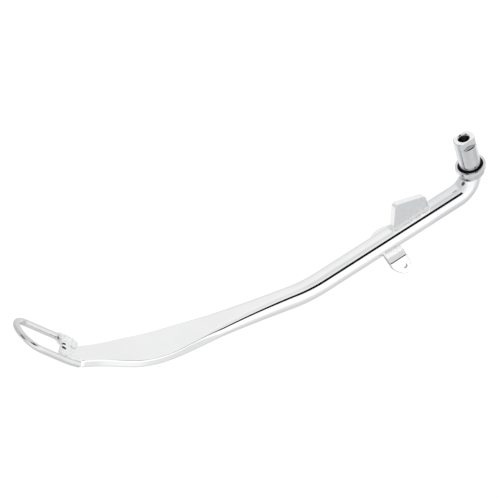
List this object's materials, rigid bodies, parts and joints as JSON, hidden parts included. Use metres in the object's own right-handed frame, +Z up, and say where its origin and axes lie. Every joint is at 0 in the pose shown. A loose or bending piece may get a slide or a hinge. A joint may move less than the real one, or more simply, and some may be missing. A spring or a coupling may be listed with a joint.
{
  "type": "kickstand",
  "caption": "Bent chrome bar leg forged flat at the toe, with a flatted pivot post, cup collar, stop fin, spring bracket and rod foot loop.",
  "frame": {"origin": "on the pivot post's axis, in the plane of the collar's rim", "axes": "+Z up the pivot post, -X along the leg towards the toe, -Y the side the spring bracket stands out on"},
  "size_m": [0.3944, 0.0397, 0.1439],
  "materials": {
    "leg_chrome": "mirror chrome plate",
    "bracket_chrome": "mirror chrome plate",
    "weld_chrome": "plated weld metal, rippled",
    "fin_satin": "satin plate",
    "post_steel": "turned and milled",
    "collar_steel": "turned",
    "seal_rubber": "matt"
  },
  "bodies": {
    "collar": {"thrust_collar": "collar_steel", "pivot_seal": "seal_rubber"},
    "leg": {"pivot_post": "post_steel", "leg_bar": "leg_chrome", "stop_fin": "fin_satin", "fin_weld_near": "weld_chrome", "fin_weld_far": "weld_chrome", "fin_weld_foot_end": "weld_chrome", "fin_weld_post_end": "weld_chrome", "spring_bracket": "bracket_chrome", "bracket_weld": "weld_chrome", "bracket_weld_under": "weld_chrome", "rear_lug": "leg_chrome", "rear_lug_weld": "weld_chrome", "foot_loop": "leg_chrome", "loop_weld_near": "weld_chrome", "loop_weld_far": "weld_chrome", "loop_weld_end": "weld_chrome"}
  },
  "joints": [
    {"name": "leg_swing", "type": "hinge", "parent": "collar", "child": "leg", "pos_m": [0, 0, 0], "axis": [0, 0, 1], "range_deg": [-95, 0]}
  ]
}
